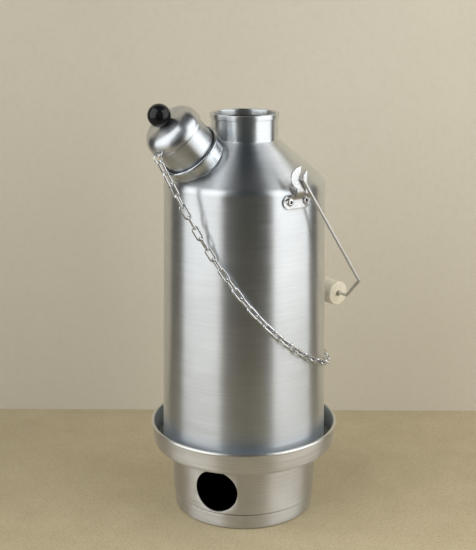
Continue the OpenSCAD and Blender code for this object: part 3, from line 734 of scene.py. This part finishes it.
def makeCollar(s):
    bore = s["bore"] + s["wall"] + s["fit"]
    out = bore + s["collarWall"]
    low = s["length"] - s["collar"]
    centre = (s["bore"] + s["lip"], s["length"] - s["lip"])
    leave = -math.degrees(math.acos((out - centre[0]) / s["lip"]))
    back = 360 - math.degrees(math.acos((bore - centre[0]) / s["lip"]))
    lip = arcPoints(centre, s["lip"], leave, back, 36)
    top = centre[1] - s["lip"]
    foot = roundedPath([(bore, top), (bore, low), (out, low), (out, top)], [0, 0, s["footRound"], 0], 5)
    piece = lathePiece("spoutCollar", foot[1:-1] + lip, spoutFrame, steps=160)
    for vert in piece.data.vertices:
        if vert.co.z < (low + s["footReach"]) * mm:
            side = vert.co.y ** 2 / (vert.co.x ** 2 + vert.co.y ** 2)
            vert.co.z -= (s["saddleLow"] + s["saddle"] * side) * mm  # its foot follows the cone
    return piece


dress(makeCollar(spout), "spout_collar", "kettle", "collar_aluminium", collarFinish)

# cap
cap = {
    "skirt": 23.3, "band": 24.35, "foot": 6.0, "bandHeight": 4.0, "joggle": 0.8, "skirtRound": 0.6,
    "seam": 34.7, "seamLap": 0.05, "seamRound": 0.2, "sheet": 1.0, "neck": 23.55, "neckHeight": 2.0,
    "dome": 24.6, "domeTop": 49.0, "crown": 1.5, "domeRound": 10.0, "seat": 6.0, "seatRound": 1.0,
    "curl": 0.3, "curlLow": 0.5, "curlHigh": 1.3, "curlIn": 0.3, "curlOut": 0.6, "seamGap": 0.4,
    "knob": 9.6, "knobStand": 8.3, "eyeUp": 5.5, "eyeTurn": 16.0, "eyeHalf": 3.6, "eyeOut": 4.0,
    "eyeIn": 4.0, "eyeBend": 1.6, "eyeWire": 0.8, "ringWire": 0.7,
}


def makeSkirt(s):
    path = [(s["band"], s["foot"]), (s["band"], s["foot"] + s["bandHeight"]),
            (s["skirt"], s["foot"] + s["bandHeight"] + s["joggle"]), (s["skirt"], s["seam"] - s["joggle"]),
            (s["neck"], s["seam"] - s["seamLap"]), (s["neck"], s["seam"] + s["neckHeight"])]
    radii = [0, s["skirtRound"], s["skirtRound"], s["skirtRound"], s["seamRound"], 0]
    return lathePiece("capSkirt", sheetLoop(path, radii, s["sheet"], 5), spoutFrame, steps=160)


def makeDome(s):
    foot = s["seam"] + s["seamGap"]
    rim = s["dome"] + s["curl"]
    path = [(rim, foot), (rim, foot + s["curlLow"]), (s["dome"], foot + s["curlHigh"]),
            (s["dome"], s["domeTop"] - s["crown"]), (s["seat"], s["domeTop"]), (0, s["domeTop"])]
    radii = [0, s["curlIn"], s["curlOut"], s["domeRound"], s["seatRound"], 0]
    return lathePiece("capDome", sheetLoop(path, radii, s["sheet"], 16), spoutFrame, steps=160)


def makeKnob(s):
    centre = s["domeTop"] + s["knobStand"]
    low = math.degrees(math.asin(-s["knobStand"] / s["knob"]))
    loop = [(0, s["domeTop"])] + arcPoints((0, centre), s["knob"], low, 90, 40)
    loop[-1] = (0, centre + s["knob"])
    return lathePiece("ballKnob", loop, spoutFrame, steps=96)


dress(makeSkirt(cap), "cap_skirt", "cap", "cap_aluminium", capFinish)
dress(makeDome(cap), "cap_dome", "cap", "cap_aluminium", capFinish)
dress(makeKnob(cap), "knob", "cap", "knob_plastic", knobFinish)


def makeStaple(s):
    inside, bar = s["dome"] - s["eyeIn"], s["dome"] + s["eyeOut"]
    corners = [(inside, -s["eyeHalf"]), (bar, -s["eyeHalf"]), (bar, s["eyeHalf"]), (inside, s["eyeHalf"])]
    path = roundedPath(corners, [0, s["eyeBend"], s["eyeBend"], 0])
    up = Matrix.Translation((0, 0, (s["seam"] + s["eyeUp"]) * mm))
    place = spoutFrame @ up @ turned(180 + s["eyeTurn"], "Z")
    verts, faces = tubeMesh([(p.x * mm, p.y * mm, 0) for p in path], s["eyeWire"] * mm)
    return meshPiece("capStaple", verts, faces, place)


dress(makeStaple(cap), "cap_eye", "cap", "fitting_nickel", chainFinish)


# solids of a node, each as its centre, its axes from the longest to the shortest, and its size along them
def solidsOf(node, weld=0.005):
    work = bmesh.new()
    work.from_mesh(frame["nodes"][node].data)
    bmesh.ops.remove_doubles(work, verts=work.verts, dist=weld * mm)
    seen, solids = set(), []
    for first in work.verts:
        if first in seen:
            continue
        group, waiting = [], [first]
        seen.add(first)
        while waiting:
            vert = waiting.pop()
            group.append(vert.co)
            for edge in vert.link_edges:
                other = edge.other_vert(vert)
                if other not in seen:
                    seen.add(other)
                    waiting.append(other)
        middle = np.array(group).mean(0)
        cloud = np.array(group) - middle
        spread = np.linalg.eigh(np.cov(cloud.T))[1][:, ::-1]
        flat = cloud @ spread
        low, high = flat.min(0), flat.max(0)
        centre = middle + spread @ ((low + high) / 2)
        solids.append((Vector(centre), [Vector(spread[:, i]) for i in range(3)], Vector(high - low)))
    work.free()
    return solids


def makeRing(name, node, wire, steps=48, sides=14):
    centre, axes, size = solidsOf(node)[0]
    middle = size.x / 2 - wire * mm
    turns = [2 * math.pi * k / steps for k in range(steps)]
    path = [centre + (axes[0] * math.cos(t) + axes[1] * math.sin(t)) * middle for t in turns]
    verts, faces = tubeMesh(path, wire * mm, closed=True, sides=sides)
    return meshPiece(name, verts, faces)


dress(makeRing("capRing", "cap_ring", cap["ringWire"]), "cap_ring", "cap", "fitting_nickel", chainFinish)
dress(makeRing("lugRing", "lug_ring", cap["ringWire"]), "lug_ring", "kettle", "fitting_nickel", chainFinish)

# chain of welded links, each where its solid is
chain = {"wire": 0.9, "sides": 14, "bow": 14, "run": 5, "weld": 0.07, "weldRun": 0.05}


def makeChain(s):
    def turnOf(link):
        return math.atan2(link[0].y, link[0].x) % (2 * math.pi)

    links = sorted(solidsOf("chain"), key=turnOf, reverse=True)
    verts, faces, shares = [], [], []
    for index, (centre, axes, size) in enumerate(links):
        bow = size.y / 2 - s["wire"] * mm
        straight = size.x / 2 - size.y / 2
        flat = []
        for side in (1, -1):
            for k in range(s["bow"] + 1):
                turn = -math.pi / 2 + math.pi * k / s["bow"]
                flat.append((side * (straight + bow * math.cos(turn)), side * bow * math.sin(turn)))
            for k in range(1, s["run"]):
                flat.append((side * straight * (1 - 2 * k / s["run"]), side * bow))
        path = [centre + axes[0] * x + axes[1] * y for x, y in flat]
        seam = (s["bow"] + s["run"] / 2) / len(path)

        def weld(share):
            return 1 + s["weld"] * max(0.0, 1 - abs(share - seam) / s["weldRun"])

        ring, quads = tubeMesh(path, s["wire"] * mm, closed=True, sides=s["sides"], swell=weld)
        faces += [[len(verts) + i for i in quad] for quad in quads]
        verts += ring
        ahead = links[min(index + 1, len(links) - 1)][0] - links[max(index - 1, 0)][0]
        run = axes[0] * (1 if axes[0].dot(ahead) > 0 else -1) / (size.x - 4 * s["wire"] * mm)
        shares += [(index + (v - centre).dot(run)) / (len(links) - 1) for v in ring]
    piece = meshPiece("chainLinks", verts, faces)
    return piece, shares, links


chainPiece, chainShares, chainLinks = makeChain(chain)
coat(chainPiece, chainFinish)
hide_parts("chain")
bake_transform(chainPiece)
print("piece: chainLinks", len(chainLinks), "links")

# ears, pressed from sheet and riveted to the shoulder
ear = {
    "rivetUp": 294.1, "rivetHalf": 8.0, "lobe": 6.3, "web": 3.8, "stemLeft": 3.5, "stemRight": 5.5,
    "rise": 19.9, "head": 9.0, "headShift": -1.0, "hole": 2.8, "cut": 6.5, "slotTurn": 65.0, "slotIn": 3.2,
    "slotOut": 7.6, "slotLength": 11.0, "tip": 9.8, "tipShift": 0.2, "tipTurn": 94.0, "face": 73.0,
    "sheet": 1.6, "bendLow": -2.2, "bendHigh": 4.4, "edge": 0.28, "edgeAngle": 50.0, "sharp": 40, "grid": 1.3,
    "gridHalf": 15.0, "gridNear": 1e-4,
}


# turn, in degrees, at which a circle crosses an upright line
def circleAt(centre, radius, x, sign=1):
    return math.degrees(math.atan2(sign * math.sqrt(radius ** 2 - (x - centre[0]) ** 2), x - centre[0]))


def lineMeetsCircle(a, b, centre, radius):
    d, p = b - a, a - Vector(centre)
    k, m, n = d.length_squared, 2 * p.dot(d), p.length_squared - radius ** 2
    return a + d * (-m + math.sqrt(m * m - 4 * k * n)) / (2 * k)


def earOutline(s):
    lobes = [((side * s["rivetHalf"], 0), s["lobe"]) for side in (1, -1)]
    head = (s["headShift"], s["rise"]), s["head"]
    hole = Vector((0, s["rise"])), s["hole"]
    turn = Matrix.Rotation(math.radians(s["slotTurn"]), 2)
    slot = []
    for side in (-0.5, 0.5):
        near, far = Vector((0, side * s["slotIn"])), Vector((s["slotLength"], side * s["slotOut"]))
        slot.append((hole[0] + turn @ near, hole[0] + turn @ far))
    right, left = slot

    def turnOf(line, centre, radius):
        out = lineMeetsCircle(*line, centre, radius) - Vector(centre)
        return math.degrees(math.atan2(out.y, out.x))

    path = arcPoints(*lobes[0], -90, circleAt(*lobes[0], s["stemRight"]), 20)
    path += arcPoints(*head, circleAt(*head, s["stemRight"], -1), circleAt(*head, s["cut"], -1), 3)
    path += arcPoints(*head, circleAt(*head, s["cut"]), turnOf(right, *head), 3)
    path += arcPoints(*hole, turnOf(right, *hole), turnOf(left, *hole) - 360, 26)
    path += [Vector((s["tipShift"], s["rise"] + s["tip"]))]
    path += arcPoints(*head, s["tipTurn"], 360 + circleAt(*head, -s["stemLeft"], -1), 30)
    path += arcPoints(*lobes[1], circleAt(*lobes[1], -s["stemLeft"]), 270, 20)
    return path


def makeEar(name, s, side):
    work = bmesh.new()
    ring = [work.verts.new((p.x, 0, p.y)) for p in earOutline(s)]
    work.faces.new(ring)
    low, high = -s["lobe"], s["rise"] + s["tip"]
    cuts = [((0, 0, 1), z) for z in np.arange(low + s["grid"], high, s["grid"])]
    cuts += [((1, 0, 0), x) for x in np.arange(-s["gridHalf"], s["gridHalf"], s["grid"])]
    for normal, offset in cuts:
        everything = work.verts[:] + work.edges[:] + work.faces[:]
        at = Vector(normal) * offset
        bmesh.ops.bisect_plane(work, geom=everything, dist=s["gridNear"], plane_co=at, plane_no=normal)
    for vert in work.verts:
        x, z = vert.co.x, vert.co.z
        share = min(1.0, max(0.0, (z - s["web"] - s["bendLow"]) / (s["bendHigh"] - s["bendLow"])))
        share = share * share * (3 - 2 * share)
        onShell = math.sqrt(shellRadius(z + s["rivetUp"]) ** 2 - x * x)
        vert.co = Vector((x, -(onShell * (1 - share) + s["face"] * share) * side, z + s["rivetUp"])) * mm
    bmesh.ops.recalc_face_normals(work, faces=work.faces)
    work.faces.ensure_lookup_table()
    if work.faces[0].normal.y * side > 0:
        bmesh.ops.reverse_faces(work, faces=work.faces)
    mesh = bpy.data.meshes.new(name)
    work.to_mesh(mesh)
    work.free()
    piece = linked(name, mesh)
    thick = piece.modifiers.new("sheet", "SOLIDIFY")
    thick.thickness = s["sheet"] * mm
    thick.offset = 1.0
    bevelEdges(piece, s["edge"], s["edgeAngle"], 3)
    bakeModifiers(piece)
    smoothPiece(piece, s["sharp"])
    return piece


dress(makeEar("earFront", ear, 1), "ear_front", "kettle", "fitting_nickel", fittingFinish)
dress(makeEar("earRear", ear, -1), "ear_rear", "kettle", "fitting_nickel", fittingFinish)

# blind rivets, with the pit that the mandrel leaves, painted near-black as painted shade; pit and lip reach
# in bores, crown and foot in heads
rivet = {
    "head": 3.5, "height": 1.5, "bore": 1.1, "shank": 1.6, "seat": -0.12, "depth": 2.6,
    "pit": [(0, -0.7), (0.6, -0.55), (1, -0.8)], "lip": [(1, 0.75), (1.25, 0.95), (1.6, 1)],
    "crown": [(0.7, 0.9), (0.85, 0.68), (0.96, 0.32)], "foot": [(1, 0.05), (0.97, -0.1)],
    "lugUp": 138.0, "lugStep": 8.5,
}


def rivetPlace(turn, z):
    out = Matrix.Translation((0, -(shellRadius(z) + ear["sheet"]) * mm, z * mm)) @ turned(90, "X")
    return turned(turn, "Z") @ out


def makeRivets(name, s, places, steps=48, sharp=50):
    loop = [(x * s["bore"], z) for x, z in s["pit"]]
    loop += [(x * s["bore"], z * s["height"]) for x, z in s["lip"]]
    loop += [(x * s["head"], z * s["height"]) for x, z in s["crown"]]
    loop += [(x * s["head"], z) for x, z in s["foot"]]
    loop += [(s["shank"], s["seat"]), (s["shank"], -s["depth"]), (0, -s["depth"])]
    joined = None
    for place in places:
        one = lathePiece(name, loop, steps=steps, sharp=sharp)
        one.data.transform(place)
        if joined is None:
            joined = one
            continue
        work = bmesh.new()
        work.from_mesh(joined.data)
        work.from_mesh(one.data)
        work.to_mesh(joined.data)
        work.free()
        bpy.data.objects.remove(one)
    smoothPiece(joined, sharp)
    each = len(joined.data.polygons) // len(places)
    for index, face in enumerate(joined.data.polygons):
        # painted shade: the pit faces get the near-black material
        face.material_index = 1 if index % each < len(s["pit"]) * steps else 0  # the pit is dark
    return joined


rivetTurn = math.degrees(math.asin(ear["rivetHalf"] / shellRadius(ear["rivetUp"])))
frontRivets = [rivetPlace(turn, ear["rivetUp"]) for turn in (-rivetTurn, rivetTurn)]
rearRivets = [rivetPlace(180 + turn, ear["rivetUp"]) for turn in (-rivetTurn, rivetTurn)]
lugRivets = [rivetPlace(90, rivet["lugUp"] + step) for step in (-rivet["lugStep"], rivet["lugStep"])]
for name, node, places in (("earRivetsFront", "ear_rivets_front", frontRivets),
                           ("earRivetsRear", "ear_rivets_rear", rearRivets),
                           ("lugRivets", "lug_rivets", lugRivets)):
    dress(makeRivets(name, rivet, places), node, "kettle", "rivet_aluminium", rivetFinish, rivetPitShade)

# bail and grip
bail = {"wire": 1.4, "hook": 5.5, "hookAt": 68.0, "armAt": 77.0, "arm": 117.0, "reach": 145.8, "half": 44.7,
        "hookBend": 2.4, "bend": 3.0, "sag": 0.9, "step": 6.0}
grip = {"radius": 11.0, "length": 68.0, "bore": 2.6, "edge": 1.4, "boreEdge": 0.5, "seam": 0.01}
pivot = Vector(joints["bail_swing"]["pos_m"])
gripAt = Vector(joints["grip_spin"]["pos_m"])


def makeBail(s):
    half = [(s["hook"], -s["hookAt"]), (0, -s["hookAt"]), (0, -s["armAt"]), (s["arm"], -s["armAt"]),
            (s["reach"], -s["half"])]
    bends = [0, s["hookBend"], s["hookBend"], s["bend"], s["bend"]]
    corners = half + [(x, -y) for x, y in reversed(half)]
    path = roundedPath(corners, bends + bends[::-1], 10)
    dense = []
    for a, b in zip(path, path[1:]):
        parts = max(1, int((b - a).length / s["step"]))
        dense += [a + (b - a) * k / parts for k in range(parts)]
    dense.append(path[-1])
    lean = math.atan2(pivot.z - gripAt.z - s["sag"] * mm, gripAt.x)
    place = Matrix.Translation(pivot) @ Matrix.Rotation(lean, 4, "Y")
    verts, faces = tubeMesh([(p.x * mm, p.y * mm, 0) for p in dense], s["wire"] * mm, sides=24)
    return meshPiece("bailWire", verts, faces, place)


def makeGrip(s):
    half = s["length"] / 2
    loop = roundedPath(
        [(s["bore"], 0), (s["bore"], -half), (s["radius"], -half), (s["radius"], half), (s["bore"], half),
         (s["bore"], s["seam"])],
        [0, s["boreEdge"], s["edge"], s["edge"], s["boreEdge"], 0], 8)
    return lathePiece("grip", loop, Matrix.Translation(gripAt) @ turned(90, "X"), steps=96)


dress(makeBail(bail), "bail_wire", "bail", "bail_steel", wireFinish)
dress(makeGrip(grip), "grip", "grip", "grip_plastic", gripFinish)

# pieces that keep their solids
for node, material in (("chain_lug", fittingFinish), ("whistle_discs", discFinish),
                       ("knob_screw", screwFinish), ("knob_washer", screwFinish)):
    frame["nodes"][node].data.materials.clear()
    coat(frame["nodes"][node], material)
print("solids dressed")

# studio: floor, wall, two tall soft boxes and, in front, a dark card that only reflections see, a painted
# dark reflection; sizes in metres
studio = {
    "floor": 0.9, "wallBack": 0.212, "wallHalf": 0.42, "wallHeight": 0.9, "away": 1.15, "aimUp": 0.2,
    "left": {"turn": -61.5, "up": 0.75, "size": (1.58, 1.9), "power": 19.3},
    "right": {"turn": 70.0, "up": 0.58, "size": (1.465, 1.9), "power": 19.5},
    "fillPower": 9.5, "fillSize": 2.0, "fillUp": 2.2, "fillAhead": 0.7,
    "cardTurn": 5.5, "cardAway": 0.42, "cardSize": (0.52, 0.8), "cardUp": 0.34,
    "sky": (0.26, 0.285, 0.32, 1.0), "skyPower": 0.2,
}
toCamera = Vector((view["place"][0], view["place"][1], 0)).normalized()
toRight = Vector((-toCamera.y, toCamera.x, 0))


def around(turn, away, up):
    t = math.radians(turn)
    return (toCamera * math.cos(t) + toRight * math.sin(t)) * away + Vector((0, 0, up))


def areaLight(name, place, power):
    lamp = linked(name, bpy.data.lights.new(name, "AREA"))
    lamp.location = place
    lamp.data.energy = power
    return lamp


for name, box in (("boxLeft", studio["left"]), ("boxRight", studio["right"])):
    lamp = areaLight(name, around(box["turn"], studio["away"], box["up"]), box["power"])
    lamp.data.shape = "RECTANGLE"
    lamp.data.size, lamp.data.size_y = box["size"]
    aimAt = Vector((0, 0, studio["aimUp"])) - lamp.location
    lamp.rotation_euler = aimAt.to_track_quat("-Z", "Y").to_euler()
fill = areaLight("fill", around(0, studio["fillAhead"], studio["fillUp"]), studio["fillPower"])
fill.data.size = studio["fillSize"]
fill.visible_glossy = False

# paint of the stage; grains are times the paint's own
stageLook = {
    "scratchGrain": 40, "fleckGrain": 28, "scratchShare": 0.6, "smudgeShare": 0.4, "fleckSpan": (0.55, 0.75),
    "rough": 0.9,
}


# the stage's paint, with painted shade that darkens it evenly along one direction and a painted reflection
# colour that glossy rays see in place of the paint
def stageMaterial(name, dark, light, grain, mirrored, shadeAndFlecks):
    look = stageLook
    material, tree, shader = newMaterial(name)
    point = objectPoint(tree)[0]
    marks = placeGroup(tree, marksGroup, Size=grain, Scratch_Size=grain * look["scratchGrain"])
    paint = mixColour(tree, times(tree, marks["Scratches"], look["scratchShare"]), light, dark)
    paint = mixColour(tree, times(tree, marks["Smudges"], look["smudgeShare"]), paint, dark)
    flecks = noiseNode(tree, point, grain * look["fleckGrain"], 1.0)
    flecks = rangeNode(tree, flecks, *look["fleckSpan"], 0.0, shadeAndFlecks["flecks"])
    paint = mixColour(tree, flecks, paint, dark, "MULTIPLY")
    # painted reflection: glossy rays see the mirrored colour in place of the paint, so the metal mirrors a
    # floor, wall and card of a chosen brightness
    path = tree.nodes.new("ShaderNodeLightPath")
    paint = mixColour(tree, path.outputs["Is Glossy Ray"], paint, mirrored)
    along = tree.nodes.new("ShaderNodeVectorMath")  # painted shade: the paint darkens evenly along one direction, as the light falls off
    along.operation = "DOT_PRODUCT"
    along.inputs[1].default_value = shadeAndFlecks["towards"]
    feed(tree, point, along.inputs[0])
    share = rangeNode(tree, along.outputs["Value"], shadeAndFlecks["start"], shadeAndFlecks["end"], shadeAndFlecks["low"], 1.0)
    shade = combine(tree, share, share, share)
    feed(tree, mixColour(tree, 1.0, paint, shade, "MULTIPLY"), shader.inputs["Base Color"])
    shader.inputs["Roughness"].default_value = look["rough"]
    side = tree.nodes.new("ShaderNodeNewGeometry")  # clear from behind, so that every side can be seen
    feed(tree, mathNode(tree, "SUBTRACT", 1.0, side.outputs["Backfacing"]), shader.inputs["Alpha"])
    return material


def stagePlane(name, centre, wide, tall, material):
    corners = [centre - wide - tall, centre + wide - tall, centre + wide + tall, centre - wide + tall]
    mesh = bpy.data.meshes.new(name)
    mesh.from_pydata([tuple(c) for c in corners], [], [[0, 1, 2, 3]])
    plane = linked(name, mesh)
    coat(plane, material)
    return plane


# floor darker at the back and wall darker on the left: painted shade, as the light falls off
floorPaintAndShade = stageMaterial(
    "paleFloor", dark=(0.436, 0.357, 0.216), light=(0.573, 0.485, 0.308), grain=24.0,
    mirrored=(0.49, 0.42, 0.295), shadeAndFlecks={
        "towards": toCamera * 0.9 + toRight * 0.45, "start": -0.25, "end": 0.3, "low": 0.72, "flecks": 0.6})
wallPaintAndShade = stageMaterial(
    "paleWall", dark=(0.615, 0.562, 0.448), light=(0.655, 0.607, 0.492), grain=6.0,
    mirrored=(0.80, 0.73, 0.59), shadeAndFlecks={
        "towards": toRight, "start": -0.16, "end": 0.19, "low": 0.845, "flecks": 0.0})
# painted reflection: the card's colour, with painted shade that darkens it towards its foot
cardReflectionShade = stageMaterial(
    "darkReflectionCard", dark=(0.12, 0.13, 0.138), light=(0.14, 0.15, 0.158), grain=5.0,
    mirrored=(0.125, 0.148, 0.175), shadeAndFlecks={
        "towards": Vector((0, 0, 1)), "start": 0.05, "end": 0.5, "low": 0.15, "flecks": 0.0})
floorWide, floorDeep = Vector((studio["floor"], 0, 0)), Vector((0, studio["floor"], 0))
stagePlane("floor", Vector(), floorWide, floorDeep, floorPaintAndShade)
wallWide, wallTall = toRight * studio["wallHalf"], Vector((0, 0, studio["wallHeight"] / 2))
stagePlane("wall", wallTall - toCamera * studio["wallBack"], wallWide, wallTall, wallPaintAndShade)
cardAt = around(studio["cardTurn"], studio["cardAway"], studio["cardUp"])
cardWide, cardTall = -toRight * studio["cardSize"][0] / 2, Vector((0, 0, studio["cardSize"][1] / 2))
card = stagePlane("card", cardAt, cardWide, cardTall, cardReflectionShade)  # faces the kettle; only reflections see it: a painted dark reflection on the front of the metal
card.visible_camera = False
card.visible_diffuse = False
card.visible_shadow = False

world = bpy.data.worlds.new("studio")
world.use_nodes = True
sky = world.node_tree.nodes["Background"].inputs
sky["Color"].default_value = studio["sky"]
sky["Strength"].default_value = studio["skyPower"]
bpy.context.scene.world = world
bpy.context.scene.view_settings.view_transform = "Standard"
print("studio lit")
